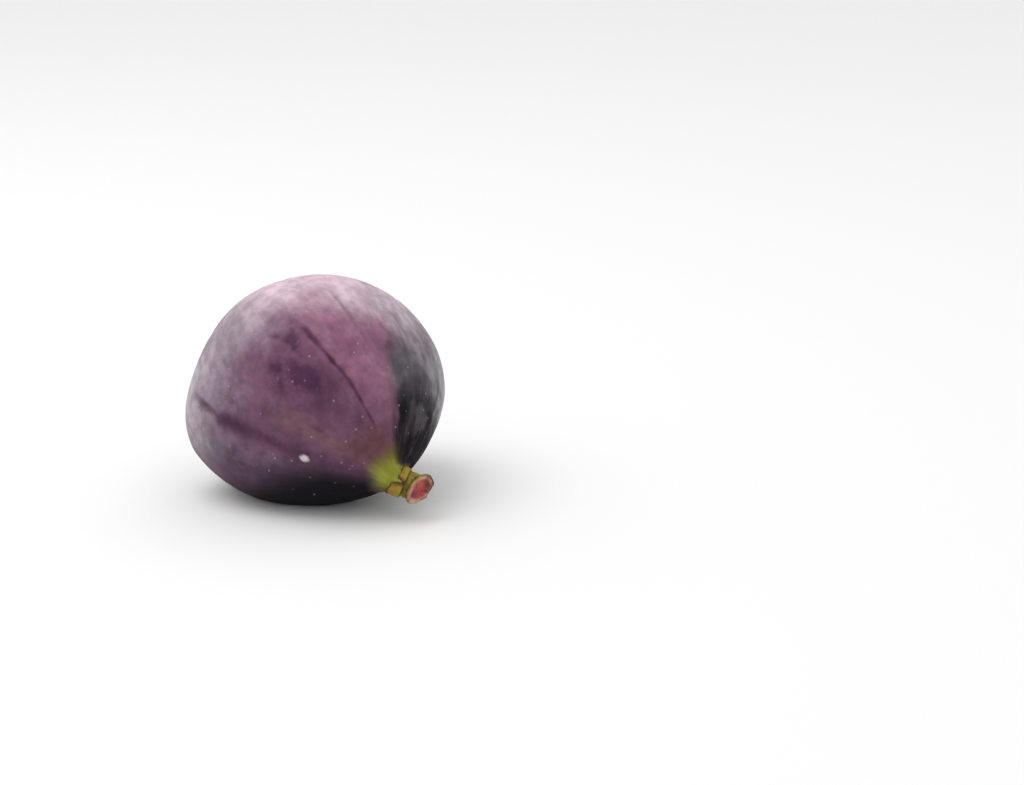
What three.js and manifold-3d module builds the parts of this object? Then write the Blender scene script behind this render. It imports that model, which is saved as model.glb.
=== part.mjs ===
// A ripe dark fig as picked, lying on its side on a flat surface.
//
// Every piece is shaped in the fig's own frame, in millimetres: +Z runs along the fig
// from the eye to the stalk, with z = 0 at the widest section, and +Y is the upper side
// of the fruit as it lies. layDown() then turns the piece into the part's frame, where
// +Z is up and the stalk points towards -Y.

import * as THREE from 'three';
import { mergeVertices } from 'three/addons/utils/BufferGeometryUtils.js';
import Module from 'manifold-3d';

const wasm = await Module();
wasm.setup();

const degrees = THREE.MathUtils.degToRad;

// The fruit
const RADIUS = 28.1; // at the widest section
const EYE_DEPTH = 21.2; // widest section to the eye end
const NECK_DEPTH = 40; // widest section to the end of the neck
const NECK_RADIUS = 3.4;
const SHOULDER_DEPTH = 38.7; // widest section to where the bare shoulder would close
const EYE_POINTEDNESS = 0.7; // 0.5 is a true ellipse, more is a more pointed eye end
const SHOULDER_FULLNESS = 0.41; // 0 is a parabola, more is a fuller shoulder
const NECK_BLEND = 4; // more is a tighter corner between shoulder and neck
const DIMPLE_DEPTH = 1.4; // the hollow around the eye
const DIMPLE_RADIUS = 4.5;

// Waves around the fruit that make it one-sided, oval, three-lobed and a little uneven. Each
// height is a share of the radius.
const WAVES = [
  { count: 1, height: 0.027, angle: degrees(-24) },
  { count: 2, height: 0.049, angle: degrees(20) },
  { count: 3, height: 0.083, angle: degrees(-1) },
  { count: 4, height: 0.012, angle: degrees(43) },
  { count: 5, height: 0.015, angle: degrees(-7) },
  { count: 6, height: 0.007, angle: degrees(18) },
];

// How the fig lies
const TILT = degrees(28.5); // the axis falls this much towards the stalk
const SAG = 0.936; // the soft fruit settles to this share of its height
const REST_DEPTH = 26.1; // middle of the widest section to the flat it rests on

// The neck and the stalk curve towards the right
const BEND_START = 35.3; // from the widest section
const BEND_LENGTH = 4.7;
const BEND_ANGLE = degrees(38);

// The stalk
const STALK_LENGTH = 3.5;
const STALK_RADIUS = 3;
const STALK_FOOT_RADIUS = 3.3; // where it leaves the neck
const STALK_FOOT_TAPER = 0.1; // how much it narrows up to the start of the flare
const STALK_FLARE = { start: 0.15, end: 0.35 }; // shares of the length between foot and shaft
const STALK_CUT_RADIUS = 3.8; // crushed wider where it was cut
const CUT_SLANT = 0.2; // the upper edge of the cut stands back this much per millimetre
const CUT_SIDE_SLANT = 0.52; // and its right edge stands forward this much per millimetre
const CRACK_DEPTH = 0.4; // the ring crack behind the cut end
const CRACK_HALF_WIDTH = 0.25;
const CRACK_SETBACK = 1.1; // cut end to the crack

// The small scales, which lie on the skin over a thin gap
const PIECE_GAP = 0.3;
const BRACTS = [
  { angle: degrees(80), width: 6.6, length: 2.2 },
  { angle: degrees(204), width: 6.8, length: 2.4 },
  { angle: degrees(323), width: 6.4, length: 2.2 },
];
const BRACT_THICKNESS = 0.45;
const BRACT_TAPER = 0.3; // how much narrower the tip is than the foot, as a share
const EYE_SCALE_COUNT = 5;
const EYE_SCALE = { width: 3.9, length: 3.5 };
const EYE_SCALE_THICKNESS = 0.6;
const EYE_SCALE_TAPER = 0.86;
const EYE_RADIUS = 4.9; // of the ring of scale feet around the eye
const SCALE_TAPER_CURVE = 1.8; // more keeps a scale wide for longer before its tip
const SCALE_THINNING = 0.5; // how much thinner the tip is than the foot, as a share

// How finely the pieces are divided
const FRUIT_RINGS = 38;
const FRUIT_SEGMENTS = 60;
const STALK_SEGMENTS = 20;
const SCALE_STEPS = { across: 10, along: 5 };
const OUTLINE_STEP = 5e-4;
const WELD_DISTANCE = 1e-4;

// Radius of the fruit at z, before its waves.
function profileRadius(z) {
  if (z <= 0) {
    return RADIUS * Math.max(1 - (z / EYE_DEPTH) ** 2, 0) ** EYE_POINTEDNESS;
  }
  const reach = Math.min(z / SHOULDER_DEPTH, 1);
  const drop = (1 - SHOULDER_FULLNESS) * reach ** 2 + SHOULDER_FULLNESS * reach ** 4;
  const shoulder = RADIUS * (1 - drop);
  const neck = NECK_RADIUS * THREE.MathUtils.smoothstep(z, 0, NECK_DEPTH);
  return (shoulder ** NECK_BLEND + neck ** NECK_BLEND) ** (1 / NECK_BLEND);
}

// A point of the outline in the (radius, z) plane; t runs from 0 at the eye to 1 at the neck's end.
function profilePoint(t) {
  const length = EYE_DEPTH + NECK_DEPTH;
  const z = (length * (1 - Math.cos(Math.PI * t))) / 2 - EYE_DEPTH;
  const radius = profileRadius(z);
  const dimple = DIMPLE_DEPTH * Math.exp(-((radius / DIMPLE_RADIUS) ** 2));
  return z < 0 ? new THREE.Vector2(radius, z + dimple) : new THREE.Vector2(radius, z);
}

// How much the waves swell the fruit at z, in the direction of angle. They fade out at both ends.
function swelling(angle, z) {
  const along = THREE.MathUtils.clamp((z + EYE_DEPTH) / (EYE_DEPTH + NECK_DEPTH), 0, 1);
  let sum = 0;
  for (const wave of WAVES) {
    sum += wave.height * Math.cos(wave.count * (angle - wave.angle));
  }
  return 1 + Math.sin(Math.PI * along) * sum;
}

// Moves every vertex of a geometry to where place(vertex) puts it.
function reshape(geometry, place) {
  const positions = geometry.getAttribute('position');
  for (let i = 0; i < positions.count; i += 1) {
    const vertex = new THREE.Vector3().fromBufferAttribute(positions, i);
    positions.setXYZ(i, ...place(vertex).toArray());
  }
  return geometry;
}

// Merges the shared vertices, which leaves one closed mesh of positions only.
function closed(geometry) {
  geometry.deleteAttribute('normal');
  geometry.deleteAttribute('uv');
  return mergeVertices(geometry, WELD_DISTANCE);
}

// A solid of revolution about Z. The outline runs upwards and starts and ends on the axis.
function lathe(outline, segments) {
  return closed(new THREE.LatheGeometry(outline, segments).rotateX(Math.PI / 2));
}

// Carries a point of the straight fig along the curve of the neck and the stalk.
function bend(point) {
  const past = point.z - BEND_START;
  if (past <= 0) {
    return point;
  }
  const curveRadius = BEND_LENGTH / BEND_ANGLE;
  const turned = (Math.min(past, BEND_LENGTH) / BEND_LENGTH) * BEND_ANGLE;
  const beyond = Math.max(past - BEND_LENGTH, 0);
  const reach = curveRadius - point.x;
  const x = curveRadius - reach * Math.cos(turned) + beyond * Math.sin(turned);
  const z = BEND_START + reach * Math.sin(turned) + beyond * Math.cos(turned);
  return new THREE.Vector3(x, point.y, z);
}

// Turns a geometry from the fig's frame into the part's frame, where the soft fruit sags a little.
function layDown(geometry) {
  const turn = new THREE.Matrix4().makeRotationX(Math.PI / 2 + TILT);
  const settle = new THREE.Matrix4().makeScale(1, 1, SAG);
  return geometry.applyMatrix4(settle.multiply(turn));
}

function toSolid(geometry) {
  const vertProperties = Float32Array.from(geometry.getAttribute('position').array);
  const triVerts = Uint32Array.from(geometry.index.array);
  return new wasm.Manifold(new wasm.Mesh({ numProp: 3, vertProperties, triVerts }));
}

function toGeometry(solid) {
  const mesh = solid.getMesh();
  const geometry = new THREE.BufferGeometry();
  geometry.setAttribute('position', new THREE.BufferAttribute(mesh.vertProperties, 3));
  geometry.setIndex(new THREE.BufferAttribute(mesh.triVerts, 1));
  geometry.computeVertexNormals();
  return geometry;
}

// The whole fruit, flattened where its weight rests on the surface.
function fruitGeometry() {
  const outline = [];
  for (let ring = 0; ring <= FRUIT_RINGS; ring += 1) {
    outline.push(profilePoint(ring / FRUIT_RINGS));
  }
  outline[0].x = 0;
  outline.push(new THREE.Vector2(0, NECK_DEPTH));
  const whole = reshape(lathe(outline, FRUIT_SEGMENTS), (vertex) => {
    const swell = swelling(Math.atan2(vertex.y, vertex.x), vertex.z);
    return bend(new THREE.Vector3(vertex.x * swell, vertex.y * swell, vertex.z));
  });
  const floorSize = 4 * RADIUS;
  const floor = new THREE.BoxGeometry(floorSize, floorSize, floorSize);
  floor.translate(0, 0, -REST_DEPTH - floorSize / 2);
  return toGeometry(toSolid(layDown(whole)).subtract(toSolid(closed(floor))));
}

// The cut stub of the stalk, with a slanting cut and a ring crack behind it.
function stalkGeometry() {
  const crack = STALK_LENGTH - CRACK_SETBACK;
  const outline = [
    new THREE.Vector2(0, 0),
    new THREE.Vector2(STALK_FOOT_RADIUS, 0),
    new THREE.Vector2(STALK_FOOT_RADIUS - STALK_FOOT_TAPER, STALK_FLARE.start * STALK_LENGTH),
    new THREE.Vector2(STALK_RADIUS, STALK_FLARE.end * STALK_LENGTH),
    new THREE.Vector2(STALK_RADIUS, crack - CRACK_HALF_WIDTH),
    new THREE.Vector2(STALK_RADIUS - CRACK_DEPTH, crack),
    new THREE.Vector2(STALK_CUT_RADIUS, crack + CRACK_HALF_WIDTH),
    new THREE.Vector2(STALK_CUT_RADIUS, STALK_LENGTH),
    new THREE.Vector2(0, STALK_LENGTH),
  ];
  const stub = reshape(lathe(outline, STALK_SEGMENTS), (vertex) => {
    const share = vertex.z / STALK_LENGTH;
    const slant = (CUT_SIDE_SLANT * vertex.x - CUT_SLANT * vertex.y) * share;
    return bend(new THREE.Vector3(vertex.x, vertex.y, NECK_DEPTH + PIECE_GAP + vertex.z + slant));
  });
  return layDown(stub);
}

// A point at a height over the skin: t along the outline, angle around it.
function overSkin(t, angle, height) {
  const here = profilePoint(t);
  const slope = profilePoint(t + OUTLINE_STEP).sub(profilePoint(t - OUTLINE_STEP)).normalize();
  const radius = here.x * swelling(angle, here.y) + slope.y * height;
  const z = here.y - slope.x * height;
  return bend(new THREE.Vector3(radius * Math.cos(angle), radius * Math.sin(angle), z));
}

// Follows the outline back from t towards the eye, over a distance.
function followBack(t, distance) {
  let place = t;
  let gone = 0;
  while (gone < distance) {
    gone += profilePoint(place).distanceTo(profilePoint(place - OUTLINE_STEP));
    place -= OUTLINE_STEP;
  }
  return place;
}

// A small scale lying on the skin, with its foot at t on the outline and its tip towards the eye.
function scaleGeometry(size, thickness, taper, angle, t) {
  const blank = new THREE.BoxGeometry(1, 1, 1, SCALE_STEPS.across, SCALE_STEPS.along, 1);
  const scale = reshape(closed(blank), (vertex) => {
    const share = vertex.y + 0.5;
    const place = followBack(t, share * size.length);
    const width = size.width * (1 - taper * share ** SCALE_TAPER_CURVE);
    const around = (vertex.x * width) / profilePoint(place).x;
    const height = PIECE_GAP + (vertex.z + 0.5) * thickness * (1 - SCALE_THINNING * share);
    return overSkin(place, angle - around, height);
  });
  return layDown(scale);
}

function named(name, geometry, colour, roughness) {
  const material = new THREE.MeshStandardMaterial({ color: colour, roughness, metalness: 0 });
  const mesh = new THREE.Mesh(geometry, material);
  mesh.name = name;
  return mesh;
}

const fig = new THREE.Group();
fig.add(named('fruit', fruitGeometry(), 0x614056, 0.5));
fig.add(named('stalk', stalkGeometry(), 0x8a7a2e, 0.7));

const neckFoot = followBack(1, PIECE_GAP);
BRACTS.forEach((bract, index) => {
  const geometry = scaleGeometry(bract, BRACT_THICKNESS, BRACT_TAPER, bract.angle, neckFoot);
  fig.add(named(`basal_bract_${index + 1}`, geometry, 0x845f1d, 0.7));
});

let eyeFoot = 0;
while (profilePoint(eyeFoot).x < EYE_RADIUS) {
  eyeFoot += OUTLINE_STEP;
}
for (let index = 0; index < EYE_SCALE_COUNT; index += 1) {
  const angle = (2 * Math.PI * index) / EYE_SCALE_COUNT;
  const geometry = scaleGeometry(EYE_SCALE, EYE_SCALE_THICKNESS, EYE_SCALE_TAPER, angle, eyeFoot);
  fig.add(named(`eye_scale_${index + 1}`, geometry, 0x7a5248, 0.7));
}

// The origin is under the middle of the whole fig, on the surface it rests on.
const box = new THREE.Box3().setFromObject(fig);
const middle = box.getCenter(new THREE.Vector3());
fig.position.set(-middle.x, -middle.y, -box.min.z);

export default fig;
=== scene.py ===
"""A ripe dark fig as picked, lying on its side, with a short cut stalk.

Lengths are in metres. Every piece is shaped in the fig's own frame: Z runs along the fig
from the eye to the stalk, with z = 0 at the widest section, and Y is the upper side of the
fruit as it lies. lay_down() then puts it in the row's frame.
"""
import math

import bpy
import numpy as np
from mathutils import Matrix, Vector, noise


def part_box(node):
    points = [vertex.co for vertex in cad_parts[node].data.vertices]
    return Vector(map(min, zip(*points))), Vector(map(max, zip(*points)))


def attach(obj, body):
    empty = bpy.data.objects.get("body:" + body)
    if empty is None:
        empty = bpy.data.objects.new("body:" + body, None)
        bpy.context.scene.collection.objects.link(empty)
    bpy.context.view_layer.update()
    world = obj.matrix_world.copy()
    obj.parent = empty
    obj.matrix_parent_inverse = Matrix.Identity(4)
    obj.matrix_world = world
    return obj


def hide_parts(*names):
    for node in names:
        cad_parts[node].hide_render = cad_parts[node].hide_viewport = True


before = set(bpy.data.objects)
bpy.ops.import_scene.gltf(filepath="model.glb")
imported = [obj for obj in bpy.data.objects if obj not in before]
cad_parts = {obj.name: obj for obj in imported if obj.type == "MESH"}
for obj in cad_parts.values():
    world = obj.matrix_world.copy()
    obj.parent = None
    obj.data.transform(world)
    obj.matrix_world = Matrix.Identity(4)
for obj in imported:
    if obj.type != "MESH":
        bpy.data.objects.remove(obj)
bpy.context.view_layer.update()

MM = 0.001

# The fruit
RADIUS = 28.1 * MM
EYE_DEPTH = 21.2 * MM
NECK_DEPTH = 40 * MM
NECK_RADIUS = 3.4 * MM
SHOULDER_DEPTH = 38.7 * MM
EYE_POINTEDNESS = 0.7
SHOULDER_FULLNESS = 0.41
NECK_BLEND = 4
DIMPLE_DEPTH = 1.4 * MM
DIMPLE_RADIUS = 4.5 * MM
WAVES = [
    (1, 0.027, math.radians(-24)),
    (2, 0.049, math.radians(20)),
    (3, 0.083, math.radians(-1)),
    (4, 0.012, math.radians(43)),
    (5, 0.015, math.radians(-7)),
    (6, 0.007, math.radians(18)),
]
LENGTH = EYE_DEPTH + NECK_DEPTH

# How the fig lies
TILT = math.radians(28.5)
SAG = 0.936
REST_DEPTH = 26.1 * MM
REST_ROUNDING = 0.8 * MM

# The curve of the neck and the stalk
BEND_START = 35.3 * MM
BEND_LENGTH = 4.7 * MM
BEND_ANGLE = math.radians(38)

# The stalk
STALK_LENGTH = 3.5 * MM
STALK_RADIUS = 3.0 * MM
STALK_FOOT_RADIUS = 3.3 * MM
STALK_CUT_RADIUS = 3.8 * MM
CUT_SLANT = 0.2
CUT_SIDE_SLANT = 0.52
CRACK_SETBACK = 1.1 * MM
CUT_RAGGEDNESS = 0.36 * MM
CUT_ROUGHNESS = 0.16 * MM
CUT_HOLLOW = 0.42 * MM
PITH_HEIGHT = 0.30 * MM
STALK_GAP = 0.1 * MM
CRACK_DEPTH = 0.4 * MM
CRACK_HALF_WIDTH = 0.2 * MM

# The small scales. A bract is (degrees round the neck, (width, length, thickness), lift of its
# tip), in millimetres. The five eye scales are alike and stand in a ring.
BRACTS = [
    (80, (7.4, 2.2, 0.45), 0.3),
    (204, (7.4, 2.4, 0.45), 0.5),
    (323, (7.0, 2.2, 0.45), 0.3),
]
EYE_SCALE_COUNT = 5
EYE_SCALE = (3.9, 3.9, 0.6)
EYE_SCALE_LIFT = 0.25
EYE_RADIUS = 4.9 * MM

# Mesh steps
FRUIT_RINGS = 228
FRUIT_SEGMENTS = 400

# The camera: where it stands seen from the fig, its lens in millimetres, and how far the middle
# of the view lies from the widest section of the fig, to the right and up
CAMERA_AZIMUTH = math.radians(-35.9)
CAMERA_ELEVATION = math.radians(15)
CAMERA_DISTANCE = 0.55
CAMERA_LENS = 85.3
AIM_RIGHT = 47.5 * MM
AIM_UP = -5.4 * MM

# The studio: one square soft box and a floor, in metres, and the soft box's power in watts
KEY_PLACE = (-0.28, 0.22, 0.75)
KEY_SIZE = 0.6
KEY_POWER = 2.5
LIGHT_TARGET = (0, 0, 0.02)
FLOOR_REACH = 3.0
FLOOR_COLOUR = (0.8, 0.8, 0.8, 1)


def smooth(low, high, value):
    """0 below low, 1 above high, with a smooth rise between them."""
    share = np.clip((value - low) / (high - low), 0, 1)
    return share * share * (3 - 2 * share)


# ---------------------------------------------------------------- the form of the fig


def profile_radius(z):
    """Radius of the fruit at z, before its waves."""
    eye = RADIUS * np.clip(1 - (z / EYE_DEPTH) ** 2, 0, 1) ** EYE_POINTEDNESS
    reach = np.clip(z / SHOULDER_DEPTH, 0, 1)
    drop = (1 - SHOULDER_FULLNESS) * reach**2 + SHOULDER_FULLNESS * reach**4
    shoulder = RADIUS * (1 - drop)
    neck = NECK_RADIUS * smooth(0, NECK_DEPTH, z)
    blended = (shoulder**NECK_BLEND + neck**NECK_BLEND) ** (1 / NECK_BLEND)
    return np.where(z <= 0, eye, blended)


def profile(t):
    """(radius, z) of the outline; t runs from 0 at the eye to 1 at the neck's end."""
    z = LENGTH * (1 - np.cos(np.pi * t)) / 2 - EYE_DEPTH
    radius = profile_radius(z)
    dimple = DIMPLE_DEPTH * np.exp(-((radius / DIMPLE_RADIUS) ** 2))
    return radius, np.where(z < 0, z + dimple, z)


def swelling(angle, z):
    """How much the waves swell the fruit at z, in the direction of angle."""
    along = np.clip((z + EYE_DEPTH) / LENGTH, 0, 1)
    total = sum(height * np.cos(count * (angle - turn)) for count, height, turn in WAVES)
    return 1 + np.sin(np.pi * along) * total


def bend(points):
    """Carries points of the straight fig along the curve of the neck and the stalk."""
    x, y, z = points[..., 0], points[..., 1], points[..., 2]
    past = z - BEND_START
    curve_radius = BEND_LENGTH / BEND_ANGLE
    turned = np.clip(past, 0, BEND_LENGTH) / BEND_LENGTH * BEND_ANGLE
    beyond = np.maximum(past - BEND_LENGTH, 0)
    reach = curve_radius - x
    bent_x = curve_radius - reach * np.cos(turned) + beyond * np.sin(turned)
    bent_z = BEND_START + reach * np.sin(turned) + beyond * np.cos(turned)
    return np.stack([np.where(past > 0, bent_x, x), y, np.where(past > 0, bent_z, z)], -1)


def lay_down(points):
    """Turns points from the fig's own frame to how it lies, with the soft fruit's sag."""
    x, y, z = points[..., 0], points[..., 1], points[..., 2]
    laid_y = -math.sin(TILT) * y - math.cos(TILT) * z
    laid_z = (math.cos(TILT) * y - math.sin(TILT) * z) * SAG
    return np.stack([x, laid_y, laid_z], -1)


def over_skin(t, angle, height):
    """Points at a height over the plain skin, in the fig's own frame, before the bend."""
    radius, z = profile(t)
    step = 1e-3
    next_radius, next_z = profile(np.minimum(t + step, 1))
    last_radius, last_z = profile(np.maximum(t - step, 0))
    run, rise = next_radius - last_radius, next_z - last_z
    length = np.maximum(np.hypot(run, rise), 1e-12)
    out = radius * swelling(angle, z) + rise / length * height
    return np.stack([out * np.cos(angle), out * np.sin(angle), z - run / length * height], -1)


def seat():
    """The shift that brings the laid fig into the row's frame, from the CAD fruit's box."""
    t, angle = np.meshgrid(np.linspace(0, 1, 200), np.linspace(0, 2 * np.pi, 240))
    laid = lay_down(bend(over_skin(t, angle, 0 * t)))
    low, high = (np.array(corner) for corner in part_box("fruit"))
    middle = (laid.min((0, 1)) + laid.max((0, 1))) / 2
    shift = (low + high) / 2 - middle
    shift[2] = low[2] + REST_DEPTH
    return shift


SEAT = seat()


def settle_on_floor(points):
    """Flattens the soft underside where it meets the surface that the fig lies on."""
    settled = points.copy()
    above = points[..., 2]
    share = np.clip(0.5 + 0.5 * above / REST_ROUNDING, 0, 1)
    settled[..., 2] = above * share + REST_ROUNDING * share * (1 - share)
    return settled


def in_row(points):
    """From the fig's own frame, straight, to the row's frame."""
    return lay_down(bend(points)) + SEAT


# ---------------------------------------------------------------- meshes


def lattice_faces(rows, columns, around):
    """Quads of a lattice of rows by columns; around joins the last column to the first."""
    faces = []
    for row in range(rows - 1):
        for column in range(columns if around else columns - 1):
            beside = (column + 1) % columns
            faces.append((
                row * columns + column,
                row * columns + beside,
                (row + 1) * columns + beside,
                (row + 1) * columns + column,
            ))
    return faces


def make_object(name, points, faces, material):
    """A smooth-shaded mesh object in the row's frame."""
    mesh = bpy.data.meshes.new(name)
    mesh.from_pydata(points.tolist(), [], faces)
    mesh.shade_smooth()
    mesh.materials.append(material)
    piece = bpy.data.objects.new(name, mesh)
    bpy.context.scene.collection.objects.link(piece)
    return piece


def paint(piece, name, values):
    """Stores one number, or one vector, per vertex for the materials to read."""
    values = np.asarray(values, dtype=np.float32)
    kind, key = ("FLOAT", "value") if values.ndim == 1 else ("FLOAT_VECTOR", "vector")
    layer = piece.data.attributes.new(name, kind, "POINT")
    layer.data.foreach_set(key, values.ravel())


def wander(vectors, scale, octaves=3):
    """Smooth noise, about -1 to 1, at each vector."""
    return np.array([noise.fractal(Vector(v), 1.0, 2.0, octaves) for v in (vectors * scale).tolist()])


# ---------------------------------------------------------------- the camera and the light


def make_camera():
    """Stands low on the stalk's left, and looks past the fig so that it sits left of the middle."""
    back = Vector((
        math.sin(CAMERA_AZIMUTH) * math.cos(CAMERA_ELEVATION),
        -math.cos(CAMERA_AZIMUTH) * math.cos(CAMERA_ELEVATION),
        math.sin(CAMERA_ELEVATION),
    ))
    right = Vector((math.cos(CAMERA_AZIMUTH), math.sin(CAMERA_AZIMUTH), 0))
    widest = Vector(SEAT)
    aim = widest + right * AIM_RIGHT + Vector((0, 0, AIM_UP))
    camera = bpy.data.objects.new("camera", bpy.data.cameras.new("camera"))
    camera.data.lens = CAMERA_LENS
    camera.data.clip_start = 0.01
    camera.location = widest + back * CAMERA_DISTANCE
    camera.rotation_euler = (aim - camera.location).to_track_quat("-Z", "Y").to_euler()
    bpy.context.scene.collection.objects.link(camera)
    bpy.context.scene.camera = camera


def make_key_light():
    """One large square soft box that faces the fig."""
    lamp = bpy.data.lights.new("key", "AREA")
    lamp.size = KEY_SIZE
    lamp.energy = KEY_POWER
    box = bpy.data.objects.new("key", lamp)
    box.location = KEY_PLACE
    toward = Vector(LIGHT_TARGET) - box.location
    box.rotation_euler = toward.to_track_quat("-Z", "Y").to_euler()
    bpy.context.scene.collection.objects.link(box)


def make_studio():
    """A pale floor, a white surround and one soft box high up, behind the fig on the left."""
    world = bpy.data.worlds.new("studio")
    world.use_nodes = True
    world.node_tree.nodes["Background"].inputs["Color"].default_value = (1, 1, 1, 1)
    world.node_tree.nodes["Background"].inputs["Strength"].default_value = 1.0
    bpy.context.scene.world = world
    bpy.context.scene.view_settings.view_transform = "Standard"
    make_key_light()
    mesh = bpy.data.meshes.new("floor")
    ends = [(-1, -1), (1, -1), (1, 1), (-1, 1)]
    corners = [(FLOOR_REACH * x, FLOOR_REACH * y, 0) for x, y in ends]
    mesh.from_pydata(corners, [], [(0, 1, 2, 3)])
    floor = bpy.data.objects.new("floor", mesh)
    material = bpy.data.materials.new("floor")
    material.use_nodes = True
    shader = material.node_tree.nodes["Principled BSDF"]
    shader.inputs["Base Color"].default_value = FLOOR_COLOUR
    shader.inputs["Roughness"].default_value = 0.9
    mesh.materials.append(material)
    bpy.context.scene.collection.objects.link(floor)


make_camera()
make_studio()


# ---------------------------------------------------------------- material nodes


def new_material(name, roughness, **constants):
    """A node material; constants are the shader's own values, the same all over the surface."""
    material = bpy.data.materials.new(name)
    material.use_nodes = True
    shader = material.node_tree.nodes["Principled BSDF"]
    shader.inputs["Roughness"].default_value = roughness
    for key, value in constants.items():
        shader.inputs[key.replace("_", " ")].default_value = value
    return material, material.node_tree, shader


def add(tree, kind, settings=None, **inputs):
    """A new node. An input is a value, or the socket that feeds it."""
    node = tree.nodes.new(kind)
    for key, value in (settings or {}).items():
        setattr(node, key, value)
    for key, value in inputs.items():
        socket = node.inputs[key.replace("_", " ")]
        if isinstance(value, bpy.types.NodeSocket):
            tree.links.new(value, socket)
        else:
            socket.default_value = value
    return node


def painted(tree, name, output="Fac"):
    """What paint() stored under that name."""
    return add(tree, "ShaderNodeAttribute", {"attribute_name": name}).outputs[output]


def calculate(tree, operation, first, second):
    """Two numbers, each a value or a socket, put through a maths node."""
    node = tree.nodes.new("ShaderNodeMath")
    node.operation = operation
    for socket, value in zip(node.inputs, (first, second)):
        if isinstance(value, bpy.types.NodeSocket):
            tree.links.new(value, socket)
        else:
            socket.default_value = value
    return node.outputs[0]


def between(tree, value, low, high, start=0.0, end=1.0):
    """start where value is at or under low, end where it is at or over high, smooth between."""
    limits = {"From_Min": low, "From_Max": high, "To_Min": start, "To_Max": end}
    node = add(tree, "ShaderNodeMapRange", {"interpolation_type": "SMOOTHSTEP"}, Value=value, **limits)
    return node.outputs["Result"]


def mix(tree, share, first, second, mode="MIX"):
    """The first colour, turned into the second by share. A colour is a socket or (r, g, b)."""
    node = tree.nodes.new("ShaderNodeMix")
    node.data_type = "RGBA"
    node.blend_type = mode
    for index, value in ((0, share), (6, first), (7, second)):
        if isinstance(value, bpy.types.NodeSocket):
            tree.links.new(value, node.inputs[index])
        else:
            node.inputs[index].default_value = value if index == 0 else (*value, 1)
    return node.outputs[2]


def cloud(tree, where, scale, detail=3.0, roughness=0.55, distortion=0.0):
    """Soft noise from 0 to 1; scale is in features per unit of where."""
    look = {"Scale": scale, "Detail": detail, "Roughness": roughness, "Distortion": distortion}
    return add(tree, "ShaderNodeTexNoise", Vector=where, **look).outputs["Fac"]


def stretched(tree, where, scale):
    """Coordinates scaled by a different amount along each axis."""
    return add(tree, "ShaderNodeMapping", Vector=where, Scale=scale).outputs["Vector"]


def in_metres(tree):
    """The object's own coordinates."""
    return add(tree, "ShaderNodeTexCoord").outputs["Object"]


def set_bump(tree, shader, height):
    """Tilts the shading by a height in metres."""
    bump = add(tree, "ShaderNodeBump", Height=height, Distance=1.0, Strength=1.0)
    tree.links.new(bump.outputs["Normal"], shader.inputs["Normal"])


# ---------------------------------------------------------------- the skin

# Dark streaks that run along the fruit: (angle where it starts, angle where it ends, t where it
# starts, t where it ends, half width in degrees, strength).
STREAKS = [
    (118, 117, 0.48, 0.60, 2.2, 1.0),
    (117, 112, 0.54, 0.80, 1.7, 0.85),
    (93, 91, 0.40, 0.64, 1.6, 0.4),
    (107, 104, 0.47, 0.66, 1.6, 0.3),
    (187, 185, 0.39, 0.50, 2.6, 0.8),
    (187, 184, 0.38, 0.52, 3.0, 0.8),
    (186, 170, 0.44, 0.76, 6.5, 0.75),
    (153, 148, 0.60, 0.76, 1.8, 0.35),
    (64, 58, 0.44, 0.62, 1.6, 0.4),
    (46, 40, 0.42, 0.62, 1.4, 0.4),
    (30, 24, 0.48, 0.70, 1.8, 0.5),
    (208, 196, 0.42, 0.66, 1.6, 0.4),
]
HIDDEN_STREAKS = 16

# Dark bruise-like clouds: (angle in degrees, t, half width in degrees, half length in t, strength).
BLOTS = [
    (136, 0.600, 10, 0.058, 1.0),
    (143, 0.570, 7, 0.045, 0.9),
    (143, 0.625, 6, 0.030, 0.8),
    (125, 0.415, 6, 0.030, 0.3),
    (140, 0.535, 7, 0.030, 0.7),
    (126, 0.515, 4, 0.035, 0.9),
    (131, 0.470, 5, 0.020, 0.5),
    (148, 0.560, 6, 0.030, 0.35),
    (150, 0.500, 7, 0.020, 0.35),
    (170, 0.650, 5, 0.045, 0.6),
    (183, 0.560, 7, 0.050, 0.45),
    (78, 0.590, 4, 0.022, 0.7),
    (72, 0.565, 3, 0.020, 0.5),
    (59, 0.500, 4, 0.030, 0.35),
    (48, 0.560, 3, 0.035, 0.4),
    (33, 0.580, 3, 0.050, 0.5),
]
HIDDEN_BLOTS = 14


# One drop of dried latex: the angle and the t it lies at, and its half sizes in the same units.
DROP_TURN = 177.3
DROP_T = 0.699
DROP_HALF_TURN = 3.4
DROP_HALF_T = 0.0115

# The skin's pattern is measured along a fig of this length, eye to neck.
PATTERN_LENGTH = 59.7 * MM


def degrees_apart(angle, other):
    """The shorter way round between two angles in degrees."""
    return np.abs((angle - other + 180) % 360 - 180)


def streak_mask(t, turn):
    """How dark the streaks are, from 0 to 1, at t along the fruit and turn degrees round it."""
    chance = np.random.default_rng(7)
    streaks = list(STREAKS)
    for _ in range(HIDDEN_STREAKS):
        start = 210 + 220 * chance.random()
        first = 0.25 + 0.3 * chance.random()
        last = first + 0.15 + 0.3 * chance.random()
        end = start - 8 * chance.random()
        streaks.append((start, end, first, last, 2.8, 0.2 + 0.35 * chance.random()))
    total = np.zeros_like(t)
    for start, end, first, last, width, strength in streaks:
        share = np.clip((t - first) / (last - first), 0, 1)
        middle = start + (end - start) * share
        across = np.exp(-((degrees_apart(turn, middle) / width) ** 2))
        ends = smooth(first - 0.04, first + 0.05, t) * (1 - smooth(last - 0.1, last + 0.03, t))
        total = np.maximum(total, strength * across * ends)
    return total


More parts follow.
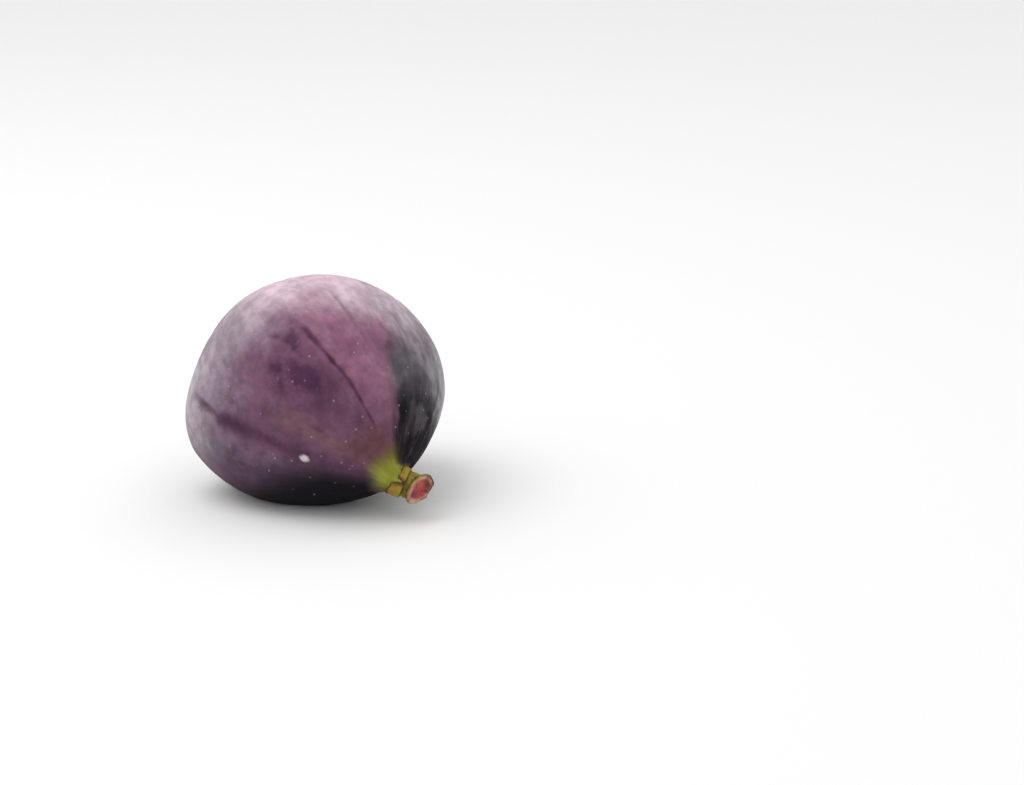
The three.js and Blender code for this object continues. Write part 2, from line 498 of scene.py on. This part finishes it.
def blot_mask(t, turn):
    """How dark the clouds are, from 0 to 1, at t along the fruit and turn degrees round it."""
    chance = np.random.default_rng(11)
    blots = list(BLOTS)
    for _ in range(HIDDEN_BLOTS):
        middle, place = 215 + 210 * chance.random(), 0.25 + 0.5 * chance.random()
        blots.append((middle, place, 4 + 6 * chance.random(), 0.03, 0.3 + 0.4 * chance.random()))
    total = np.zeros_like(t)
    for middle, place, half_turn, half_t, strength in blots:
        spread = np.hypot(degrees_apart(turn, middle) / half_turn, (t - place) / half_t)
        total = np.maximum(total, strength * np.exp(-(spread**2)))
    return total


def skin_material():
    """The skin: plum, rose and slate beneath a torn pale waxy coat, with dark marks, pale lenticels and a
    green neck; the coat also holds a painted sheen and highlight, and the skin holds painted shade low
    down.
    """
    material, tree, shader = new_material("fig_skin", 0.5, Specular_IOR_Level=0.14)
    where = in_metres(tree)
    along = painted(tree, "round_and_along", "Vector")
    broad = cloud(tree, where, 70, 3.0, 0.55, 0.4)
    blotch = cloud(tree, where, 150, 4.0, 0.58, 0.4)
    grain = cloud(tree, where, 1400, 3.0, 0.6)
    fibre = cloud(tree, stretched(tree, along, (5, 5, 1.4)), 1.0, 6.0, 0.66, 0.7)
    smoky = calculate(tree, "MULTIPLY", calculate(tree, "ADD", fibre, blotch), 0.5)
    hair = cloud(tree, stretched(tree, along, (42, 42, 5.0)), 1.0, 3.0, 0.6, 0.3)

    plum = mix(tree, between(tree, broad, 0.36, 0.64), (0.085, 0.032, 0.067), (0.150, 0.060, 0.112))
    plum = mix(tree, between(tree, blotch, 0.52, 0.72, 0.0, 0.5), plum, (0.065, 0.022, 0.055))
    rose = mix(tree, between(tree, broad, 0.36, 0.64), (0.190, 0.076, 0.130), (0.275, 0.124, 0.190))
    rose = mix(tree, between(tree, fibre, 0.50, 0.66, 0.0, 0.5), rose, (0.15, 0.060, 0.108))
    skin = mix(tree, painted(tree, "rose"), plum, rose)
    # Painted shade low on the left: a dark blue-purple.
    skin = mix(tree, painted(tree, "lower_left_shade"), skin, (0.080, 0.050, 0.084))
    skin = mix(tree, painted(tree, "brown"), skin, (0.155, 0.075, 0.092))
    skin = mix(tree, painted(tree, "russet"), skin, (0.105, 0.038, 0.048))
    slate = mix(tree, between(tree, smoky, 0.40, 0.64), (0.070, 0.062, 0.075), (0.120, 0.107, 0.126))
    # Near-black on the right towards the neck, partly painted shade.
    slate = mix(tree, painted(tree, "inky_and_shade"), slate, (0.004, 0.003, 0.005))
    skin = mix(tree, painted(tree, "slate"), skin, slate)

    # The pale waxy coat's mask; it also carries the painted sheen on the right rim and the painted shade
    # near the floor.
    uneven = between(tree, smoky, 0.34, 0.66, -0.11, 0.11)
    ragged = calculate(tree, "ADD", painted(tree, "bloom_and_sheen"), uneven)
    gaps = between(tree, smoky, 0.34, 0.66, -0.12, 0.12)
    torn = calculate(tree, "MULTIPLY", painted(tree, "torn"), gaps)
    wax_and_sheen = between(tree, calculate(tree, "ADD", ragged, torn), -0.05, 1.1)
    # The rosy coat on top is paler, partly a painted highlight; round the sides it is cool and darker.
    pink_and_highlight = mix(tree, between(tree, broad, 0.38, 0.64), (0.50, 0.375, 0.438), (0.60, 0.455, 0.518))
    cool = mix(tree, between(tree, broad, 0.38, 0.64), (0.300, 0.250, 0.284), (0.375, 0.318, 0.356))
    pale = mix(tree, painted(tree, "cool"), pink_and_highlight, cool)
    # Greyer coat on the left, partly a painted sheen.
    pale = mix(tree, painted(tree, "grey_wax_and_sheen"), pale, (0.410, 0.388, 0.405))
    ashen = mix(tree, between(tree, smoky, 0.38, 0.64), (0.31, 0.296, 0.315), (0.44, 0.425, 0.440))
    pale = mix(tree, painted(tree, "ashen"), pale, ashen)
    skin = mix(tree, wax_and_sheen, skin, pale)

    patchy = between(tree, blotch, 0.32, 0.68, 0.3, 1.4)
    lilac = calculate(tree, "MULTIPLY", painted(tree, "lilac"), patchy)
    skin = mix(tree, between(tree, lilac, 0.05, 1.2, 0.0, 0.65), skin, (0.235, 0.150, 0.215))
    broken = between(tree, blotch, 0.3, 0.7, -0.2, 0.2)
    streak = calculate(tree, "ADD", painted(tree, "streak"), broken)
    skin = mix(tree, between(tree, streak, 0.1, 1.0), skin, (0.050, 0.012, 0.038))
    blot = calculate(tree, "MULTIPLY", painted(tree, "blot"), patchy)
    skin = mix(tree, between(tree, blot, 0.02, 0.90, 0.0, 0.92), skin, (0.060, 0.017, 0.050))
    hairs = between(tree, hair, 0.56, 0.74, 0.0, 0.10)
    skin = mix(tree, hairs, skin, (0.05, 0.03, 0.05))
    mottle = between(tree, cloud(tree, where, 380, 3.0, 0.6, 0.15), 0.32, 0.68, 0.34, 0.66)
    skin = mix(tree, 0.5, skin, mottle, "OVERLAY")
    # Painted shade: the skin beneath the fruit turns near-black.
    skin = mix(tree, painted(tree, "underside_shade"), skin, (0.004, 0.003, 0.005))

    amber = mix(tree, between(tree, blotch, 0.35, 0.65), (0.120, 0.094, 0.020), (0.180, 0.142, 0.028))
    skin = mix(tree, painted(tree, "amber"), skin, amber)
    olive = mix(tree, between(tree, blotch, 0.35, 0.65), (0.20, 0.205, 0.018), (0.29, 0.305, 0.036))
    olive = mix(tree, painted(tree, "shade"), olive, (0.105, 0.095, 0.012))
    skin = mix(tree, painted(tree, "green"), skin, olive)
    skin = mix(tree, painted(tree, "joint"), skin, (0.15, 0.12, 0.012))

    spots = add(tree, "ShaderNodeTexVoronoi", Vector=where, Scale=520.0, Randomness=1.0)
    spot = between(tree, spots.outputs["Distance"], 0.06, 0.19, 1.0, 0.0)
    picked = add(tree, "ShaderNodeSeparateColor", Color=spots.outputs["Color"]).outputs["Red"]
    spot = calculate(tree, "MULTIPLY", spot, between(tree, picked, 0.5, 0.95))
    skin = mix(tree, calculate(tree, "MULTIPLY", spot, 0.5), skin, (0.40, 0.30, 0.37))
    skin = mix(tree, painted(tree, "drop"), skin, (0.62, 0.55, 0.58))
    tree.links.new(skin, shader.inputs["Base Color"])

    roughness = between(tree, wax_and_sheen, 0.0, 1.0, 0.44, 0.62)
    roughness = calculate(tree, "ADD", roughness, between(tree, blotch, 0.3, 0.7, -0.05, 0.05))
    roughness = mix(tree, painted(tree, "matt"), roughness, (0.8, 0.8, 0.8))
    tree.links.new(roughness, shader.inputs["Roughness"])
    height = calculate(tree, "MULTIPLY", grain, 0.000025)
    height = calculate(tree, "ADD", height, calculate(tree, "MULTIPLY", hair, 0.00003))
    height = calculate(tree, "ADD", height, calculate(tree, "MULTIPLY", blotch, 0.00008))
    height = calculate(tree, "ADD", height, calculate(tree, "MULTIPLY", spot, 0.00006))
    set_bump(tree, shader, height)
    return material


def pattern_t(z):
    """Where a height along the fig falls in the skin's pattern, 0 at the eye and 1 at the neck."""
    return np.arccos(np.clip(1 - 2 * (z + EYE_DEPTH) / PATTERN_LENGTH, -1, 1)) / np.pi


def near(turn, middle, half_width):
    """1 at an angle, falling softly to 0 a few half widths away from it."""
    return np.exp(-((degrees_apart(turn, middle) / half_width) ** 2))


class Places:
    """Where each vertex of the skin lies: t along the fig, turn round it in degrees, and noise."""

    def __init__(self, surface_t, angle):
        z = profile(surface_t)[1]
        self.t = pattern_t(z)
        self.turn = np.degrees(angle)
        self.vectors = np.stack([np.cos(angle), np.sin(angle), z / RADIUS], -1)
        self.soft = wander(self.vectors + 3.1, 1.6, 3)
        self.coarse = wander(self.vectors + 7.7, 4.0, 3)
        self.fine = wander(self.vectors * np.array([1, 1, 0.5]) + 2.4, 11.0, 3)
        self.rough_t = self.t + 0.018 * self.coarse + 0.012 * self.fine
        self.rough_turn = self.turn + 3.0 * self.coarse + 1.5 * self.fine
        self.neck_end = smooth(0.975, 0.992, surface_t)


def paint_bloom_and_sheen(piece, at, height_over_floor):
    """The pale waxy coat: thick over the upper back, torn on the right, thin at the eye; paler and rosier
    on top, partly a painted highlight, and greyer on the left, partly a painted sheen, with a painted
    sheen along the right rim and painted shade where it thins near the floor.
    """
    t, turn = at.t, at.turn
    reach = 0.43 + 0.12 * near(turn, 54, 34) + 0.02 * at.coarse + 0.03 * at.soft
    bloom_and_sheen = 1 - smooth(reach - 0.11, reach + 0.11, t)
    # Painted sheen: the coat is paler along the right rim.
    rim = near(turn, 13, 22) * smooth(0.38, 0.52, t) * (1 - smooth(0.62, 0.80, t))
    bloom_and_sheen = np.maximum(bloom_and_sheen, 1.05 * rim)
    bloom_and_sheen *= (0.45 + 0.55 * smooth(0.14, 0.33, t)) * smooth(0.04, 0.13, t)
    # Painted shade: the coat is less pale near the floor.
    paint(piece, "bloom_and_sheen", bloom_and_sheen * (0.4 + 0.6 * smooth(0, 14 * MM, height_over_floor)))
    side = 0.7 + 0.3 * np.clip(3 * np.sin(np.radians(turn - 95)), -1, 1)
    # The top keeps the paler rosy coat, partly a painted highlight; the sides turn cool.
    paint(piece, "cool", smooth(14, 46, degrees_apart(turn, 98)) * side)
    paint(piece, "torn", near(turn, 40, 42) * smooth(0.3, 0.45, t))
    # Greyer coat on the left, partly a painted sheen.
    paint(piece, "grey_wax_and_sheen", near(turn, 188, 26))
    paint(piece, "ashen", near(turn, 28, 36) * smooth(0.36, 0.52, t))


def paint_zones(piece, at):
    """The zones of bare skin: rose on top, slate on the right and lilac on the left, with painted shade:
    dark purple low on the left, near-black beneath the fruit and on the right of the neck half.
    """
    t, turn = at.t, at.turn
    signed = (at.rough_turn + 90) % 360 - 90
    rose = smooth(68, 80, signed) * (1 - smooth(110, 124, signed)) * (1 - smooth(0.68, 0.80, t))
    paint(piece, "rose", rose)
    lilac = 0.9 * near(turn, 165, 24) * (1 - smooth(0.46, 0.60, t))
    lilac += 0.5 * near(turn, 187, 10) * (1 - smooth(0.64, 0.7, t))
    paint(piece, "lilac", np.minimum(lilac, 1))
    band = near(at.rough_turn, 158 - 45 * (t - 0.6), 7)
    band = band * smooth(0.56, 0.64, t) * (1 - smooth(0.78, 0.88, t))
    paint(piece, "brown", band * 0.8)
    # Painted shade low on the left, from the middle of the fruit to the neck.
    paint(piece, "lower_left_shade", 0.65 * near(turn, 202, 25) * smooth(0.40, 0.50, t))
    russet = near(turn, 125, 30) * smooth(0.72, 0.80, t)
    paint(piece, "russet", np.maximum(russet, 1 - smooth(0.05, 0.13, t)))

    edge = 71 + 60 * (t - 0.45)
    right = 1 - smooth(edge - 9, edge + 6, signed + 2.5 * at.fine)
    right = right * smooth(-85, -50, signed)
    slate = right * smooth(0.50, 0.62, at.rough_t) * (1 - smooth(0.88, 0.94, t))
    # Near-black on the right towards the neck, partly painted shade.
    inky_and_shade = smooth(0.61, 0.75, at.rough_t)
    # Painted shade beneath the fruit, near-black, wider towards the neck.
    half_width = np.clip(49 + 205 * (t - 0.56), 38, 88) + 5 * at.coarse
    underside_shade = 1 - smooth(half_width - 22, half_width + 30, degrees_apart(turn, 270))
    paint(piece, "slate", slate)
    paint(piece, "inky_and_shade", inky_and_shade)
    paint(piece, "underside_shade", underside_shade * smooth(0.26, 0.44, t) * (1 - smooth(0.85, 0.91, t)))
    paint(piece, "matt", np.maximum(underside_shade, right * inky_and_shade))


def paint_neck(piece, at):
    """The green neck, its amber edge above, its shaded underside and its dry end."""
    t, turn = at.t, at.turn
    first = 0.855 + 0.03 * smooth(15, 55, degrees_apart(turn, 135)) + 0.05 * near(turn, 60, 32)
    first = first + 0.008 * at.coarse
    paint(piece, "green", smooth(first - 0.035, first + 0.035, t))
    paint(piece, "shade", near(turn, 240, 48))
    paint(piece, "amber", near(turn, 103, 15) * smooth(0.80, 0.865, t))
    paint(piece, "joint", 0.6 * at.neck_end * (1 - near(turn, 150, 30)))


def paint_skin(piece, t, angle, height_over_floor):
    """Paints where each colour of the skin lies, in the fig's own directions."""
    at = Places(t, angle)
    paint(piece, "round_and_along", at.vectors)
    paint(piece, "streak", streak_mask(at.t, at.turn + 1.0 * at.coarse + 0.8 * at.fine))
    paint(piece, "blot", blot_mask(at.rough_t, at.rough_turn))
    paint_bloom_and_sheen(piece, at, height_over_floor)
    paint_zones(piece, at)
    paint_neck(piece, at)
    drop_turn = degrees_apart(at.turn, DROP_TURN) / DROP_HALF_TURN
    spread = np.hypot(drop_turn, (at.t - DROP_T) / DROP_HALF_T)
    paint(piece, "drop", (1 - smooth(0.6, 1.1, spread + 0.3 * at.fine)) * 0.9)


def skin_relief(t, angle):
    """The furrows, lumps and streaks of the real skin, as a height over the plain form."""
    z = profile(t)[1]
    vectors = np.stack([np.cos(angle), np.sin(angle), z / RADIUS], -1)
    lumps = wander(vectors + 1.3, 1.5, 2)
    along_only = vectors * np.array([1, 1, 0.16])
    furrows = wander(along_only + 5.2, 5.0, 2)
    fine = wander(along_only + 9.4, 12.0, 2)
    both_ends = smooth(0.0, 0.15, t) * (1 - smooth(0.93, 1.0, t))
    near_neck = smooth(0.6, 0.92, t)
    relief = 0.22 * MM * lumps + 0.16 * MM * furrows * (0.5 + near_neck) + 0.05 * MM * fine
    coarse = wander(vectors + 7.7, 4.0, 3)
    relief -= 0.22 * MM * streak_mask(pattern_t(z), np.degrees(angle) + coarse)
    return relief * both_ends


def make_fruit():
    """The closed skin of rings from the eye to the neck, with a fan over each end."""
    rings = np.linspace(0, 1, FRUIT_RINGS + 1)[1:]
    turns = np.arange(FRUIT_SEGMENTS) / FRUIT_SEGMENTS * 2 * np.pi
    t, angle = (grid.ravel() for grid in np.meshgrid(rings, turns, indexing="ij"))
    points = over_skin(t, angle, skin_relief(t, angle))
    poles = in_row(np.array([[0, 0, DIMPLE_DEPTH - EYE_DEPTH], [0, 0, NECK_DEPTH]]))
    placed = np.vstack([settle_on_floor(in_row(points)), poles])
    faces = lattice_faces(FRUIT_RINGS, FRUIT_SEGMENTS, True)
    eye_pole = FRUIT_RINGS * FRUIT_SEGMENTS
    last = (FRUIT_RINGS - 1) * FRUIT_SEGMENTS
    for column in range(FRUIT_SEGMENTS):
        beside = (column + 1) % FRUIT_SEGMENTS
        faces.append((eye_pole, beside, column))
        faces.append((eye_pole + 1, last + column, last + beside))
    piece = make_object("fig_skin", placed, faces, skin_material())
    t, angle = np.append(t, [0, 1]), np.append(angle, [0, 0])
    paint_skin(piece, t, angle, placed[:, 2])
    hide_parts("fruit")
    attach(piece, "root")


# ---------------------------------------------------------------- the stalk

STALK_RINGS = 64
STALK_TURNS = 128
FACE_RINGS = 22


def stalk_radius(distance, angle):
    """Radius of the stub at a distance from its foot, with its flared foot and crushed end."""
    flare = (STALK_FOOT_RADIUS - STALK_RADIUS) * np.exp(-((distance / (1.9 * MM)) ** 2))
    crack = STALK_LENGTH - CRACK_SETBACK
    crushed = (STALK_CUT_RADIUS - STALK_RADIUS) * smooth(crack - 0.2 * MM, crack + 0.6 * MM, distance)
    groove = CRACK_DEPTH * np.exp(-(((distance - crack) / CRACK_HALF_WIDTH) ** 2))
    groove += 0.16 * MM * np.exp(-(((distance - 0.45 * MM) / (0.25 * MM)) ** 2))
    around = np.stack([2.2 * np.cos(angle), 2.2 * np.sin(angle), distance / (4 * MM)], -1)
    ridges = 0.16 * MM * wander(around, 1.0, 3)
    ridges += 0.05 * MM * wander(around * np.array([4, 4, 1]), 1.0, 2)
    return STALK_RADIUS + flare + crushed - groove + ridges


def stalk_material():
    """Olive bark with rust, dark lines and painted shade in the crack's groove, a tan rim where it is
    cut, and a damp red core.
    """
    material, tree, shader = new_material("stalk", 0.6, Specular_IOR_Level=0.4)
    where = in_metres(tree)
    mottle = cloud(tree, where, 420, 4.0, 0.6, 0.3)
    fine = cloud(tree, where, 2600, 3.0, 0.65)
    olive = mix(tree, between(tree, mottle, 0.35, 0.68), (0.115, 0.085, 0.006), (0.27, 0.21, 0.016))
    rust = between(tree, cloud(tree, where, 700, 3.0, 0.6, 0.6), 0.56, 0.70, 0.0, 0.75)
    bark = mix(tree, rust, olive, (0.11, 0.045, 0.008))
    rim = mix(tree, between(tree, mottle, 0.36, 0.64), (0.27, 0.105, 0.058), (0.52, 0.30, 0.19))
    core = mix(tree, between(tree, mottle, 0.38, 0.62), (0.12, 0.008, 0.006), (0.38, 0.032, 0.028))
    flesh = mix(tree, painted(tree, "core"), rim, core)
    colour = mix(tree, painted(tree, "cut"), bark, flesh)
    colour = mix(tree, painted(tree, "dark"), colour, (0.028, 0.012, 0.004))
    tree.links.new(colour, shader.inputs["Base Color"])
    damp = between(tree, painted(tree, "core"), 0.3, 1.0, 0.62, 0.34)
    tree.links.new(damp, shader.inputs["Roughness"])
    height = calculate(tree, "MULTIPLY", fine, 0.00005)
    height = calculate(tree, "ADD", height, calculate(tree, "MULTIPLY", mottle, 0.0001))
    set_bump(tree, shader, height)
    return material


def stalk_rows(turns):
    """Rings of the stub as (radius, distance from the foot), and how dark each of them is.

    They run out from the middle of the foot, along the bark, and in over the sunken cut.
    """
    ragged = wander(np.stack([1.9 * np.cos(turns), 1.9 * np.sin(turns), 0 * turns + 4.2], -1), 1.0, 3)
    reach = STALK_LENGTH + CUT_RAGGEDNESS * ragged
    foot = stalk_radius(np.zeros(STALK_TURNS), turns)
    rows = [(0.3 * foot, 0 * turns), (0.7 * foot, 0 * turns)]
    dark = [1, 1]
    crack = STALK_LENGTH - CRACK_SETBACK
    for share in np.linspace(0, 1, STALK_RINGS):
        distance = share * reach
        rows.append((stalk_radius(distance, turns), distance))
        middle = share * STALK_LENGTH
        # Painted shade: a dark line in the crack's groove.
        crack_shade_line = math.exp(-(((middle - crack) / (0.35 * MM)) ** 2))
        foot_line = 0.45 * math.exp(-((middle / (0.22 * MM)) ** 2))
        dark.append(max(crack_shade_line, foot_line))
    lip = rows[-1][0]
    for share in np.linspace(0.96, 0.05, FACE_RINGS):
        rough = wander(np.stack([share * np.cos(turns), share * np.sin(turns), 0 * turns], -1), 5.0, 3)
        hollow = CUT_HOLLOW * (1 - smooth(0.66, 0.84, share))
        pith = PITH_HEIGHT * (1 - smooth(0.0, 0.55, share))
        depth = STALK_LENGTH + (reach - STALK_LENGTH) * share**2 - (hollow - pith)
        rows.append((lip * share, depth + CUT_ROUGHNESS * rough))
        dark.append(0)
    return rows, dark


def paint_stalk(piece, x, y, dark):
    """Marks the cut face, its red core, and the dark lines at the crack, the foot and the lip."""
    across, upward = x / STALK_CUT_RADIUS, y / STALK_CUT_RADIUS
    cut = np.zeros(x.shape)
    cut[-FACE_RINGS:] = 1
    lip_line = smooth(0.86, 0.97, np.hypot(across, upward)) * smooth(-0.2, 0.8, across)
    core = 1 - smooth(0.62, 0.76, np.hypot(across - 0.10, upward + 0.08))
    dark = np.maximum(np.array(dark, dtype=float)[:, None], cut * lip_line)
    for name, values in (("cut", cut), ("core", cut * core), ("dark", dark)):
        paint(piece, name, np.append(values.ravel(), [values[0, 0], values[-1, 0]]))


def make_stalk():
    """The closed stub: its rings, joined, with a fan over each end."""
    turns = np.arange(STALK_TURNS) / STALK_TURNS * 2 * np.pi
    rows, dark = stalk_rows(turns)
    radius = np.array([row[0] for row in rows])
    distance = np.array([row[1] for row in rows])
    x, y = radius * np.cos(turns), radius * np.sin(turns)
    slant = (CUT_SIDE_SLANT * x - CUT_SLANT * y) * distance / STALK_LENGTH
    z = NECK_DEPTH + STALK_GAP + distance + slant
    points = np.stack([x, y, z], -1).reshape(-1, 3)
    ends = np.array([points[:STALK_TURNS].mean(0), points[-STALK_TURNS:].mean(0)])
    placed = in_row(np.vstack([points, ends]))
    faces = lattice_faces(len(rows), STALK_TURNS, True)
    first, last = len(points), len(points) - STALK_TURNS
    for column in range(STALK_TURNS):
        beside = (column + 1) % STALK_TURNS
        faces.append((first, beside, column))
        faces.append((first + 1, last + column, last + beside))
    piece = make_object("stalk_stub", placed, faces, stalk_material())
    paint_stalk(piece, x, y, dark)
    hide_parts("stalk")
    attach(piece, "root")


# ---------------------------------------------------------------- bracts and the eye's scales

FLAP_STEPS = 33
FLAP_ACROSS = 25
OUTLINE_T = np.linspace(0, 1, 4000)
NEAR_EYE = 900  # so many of the outline's steps, where its radius only grows
OUTLINE_STEPS = np.hypot(*(np.diff(values) for values in profile(OUTLINE_T)))
OUTLINE_DISTANCE = np.concatenate([[0], np.cumsum(OUTLINE_STEPS)])


def t_at(distance):
    """The place on the outline at a distance from the eye, along the skin."""
    return np.interp(distance, OUTLINE_DISTANCE, OUTLINE_T)


def flap_material(name, inner, outer, margin):
    """Dry scale: one colour at its foot, another at its tip, and a dark margin."""
    material, tree, shader = new_material(name, 0.6, Specular_IOR_Level=0.35)
    where = in_metres(tree)
    mottle = cloud(tree, where, 900, 3.0, 0.6, 0.4)
    veins = cloud(tree, where, 3200, 2.0, 0.6)
    body = mix(tree, painted(tree, "along"), inner, outer)
    body = mix(tree, between(tree, mottle, 0.45, 0.7, 0.0, 0.4), body, margin)
    colour = mix(tree, painted(tree, "margin"), body, margin)
    tree.links.new(colour, shader.inputs["Base Color"])
    height = calculate(tree, "MULTIPLY", veins, 0.00003)
    height = calculate(tree, "ADD", height, calculate(tree, "MULTIPLY", mottle, 0.00008))
    set_bump(tree, shader, height)
    return material


def plate_faces(steps, across):
    """Faces of a thin closed plate: its top lattice, the same lattice below, and the rim between."""
    count = steps * across
    upper = lattice_faces(steps, across, False)
    faces = upper + [tuple(count + corner for corner in reversed(face)) for face in upper]
    rim = list(range(across))
    rim += [row * across + across - 1 for row in range(1, steps)]
    rim += [(steps - 1) * across + column for column in range(across - 2, -1, -1)]
    rim += [row * across for row in range(steps - 2, 0, -1)]
    for index, corner in enumerate(rim):
        beside = rim[(index + 1) % len(rim)]
        faces.append((corner, count + corner, count + beside, beside))
    return faces


def make_flap(name, material, size, angle, foot, lift, blunt):
    """A thin scale on the skin, from its foot to its tip towards the eye.

    The size is (width, length, thickness), lift raises the tip, and a blunt scale keeps its
    width and has a notched tip.
    """
    width, length, thickness = (value * MM for value in size)
    rows, columns = np.linspace(0, 1, FLAP_STEPS), np.linspace(-1, 1, FLAP_ACROSS)
    share, side = np.meshgrid(rows, columns, indexing="ij")
    seed = np.stack([side * 1.5 + angle * 9, share * 2.0, 0 * share], -1).reshape(-1, 3)
    uneven = wander(seed, 1.3, 3).reshape(share.shape)
    if blunt:
        taper = (1 - 0.3 * share**1.8) * (1 + 0.05 * uneven)
        notched = 0.22 * uneven - 0.16 * side**2
    else:
        taper = (1 - share**1.9) ** 0.75 * (1 + 0.12 * uneven) + 0.02
        notched = 0.08 * uneven
    place = t_at(foot - share * length * (1 + notched))
    around = side * width / 2 * taper / profile(place)[0]
    curl = 0.25 * MM * np.abs(side) ** 3 * (1 - share)
    raised = lift * MM * share**2 + 0.12 * MM * uneven - 0.15 * MM + curl
    thin = thickness * (1 - 0.55 * share) * np.sqrt(np.clip(1 - side**4, 0.02, 1))
    bottom = over_skin(place, angle - around, raised)
    top = over_skin(place, angle - around, raised + thin)
    points = np.vstack([top.reshape(-1, 3), bottom.reshape(-1, 3)])
    piece = make_object(name, in_row(points), plate_faces(FLAP_STEPS, FLAP_ACROSS), material)
    margin = np.maximum(smooth(0.62, 0.95, np.abs(side)), smooth(0.72, 0.97, share)).ravel()
    paint(piece, "margin", np.concatenate([margin, np.ones(share.size)]))
    paint(piece, "along", np.concatenate([share.ravel(), share.ravel()]))
    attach(piece, "root")
    return piece


def make_bracts():
    """The broken collar of blunt bracts around the end of the neck."""
    material = flap_material("bract", (0.25, 0.21, 0.012), (0.36, 0.17, 0.014), (0.060, 0.022, 0.005))
    foot = OUTLINE_DISTANCE[-1] + 0.2 * MM
    for number, (turn, size, lift) in enumerate(BRACTS, start=1):
        angle = math.radians(turn)
        piece = make_flap(f"bract_{number}", material, size, angle, foot, lift, True)
        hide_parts(f"basal_bract_{number}")


def make_eye_scales():
    """The ring of pointed scales that closes the eye."""
    material = flap_material("eye_scale", (0.16, 0.07, 0.05), (0.24, 0.10, 0.04), (0.045, 0.018, 0.010))
    near_eye = slice(0, NEAR_EYE)
    foot = float(np.interp(EYE_RADIUS, profile(OUTLINE_T[near_eye])[0], OUTLINE_DISTANCE[near_eye]))
    for number in range(1, EYE_SCALE_COUNT + 1):
        angle = 2 * math.pi * (number - 1) / EYE_SCALE_COUNT
        piece = make_flap(f"scale_{number}", material, EYE_SCALE, angle, foot, EYE_SCALE_LIFT, False)
        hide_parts(f"eye_scale_{number}")


make_fruit()
make_stalk()
make_bracts()
make_eye_scales()
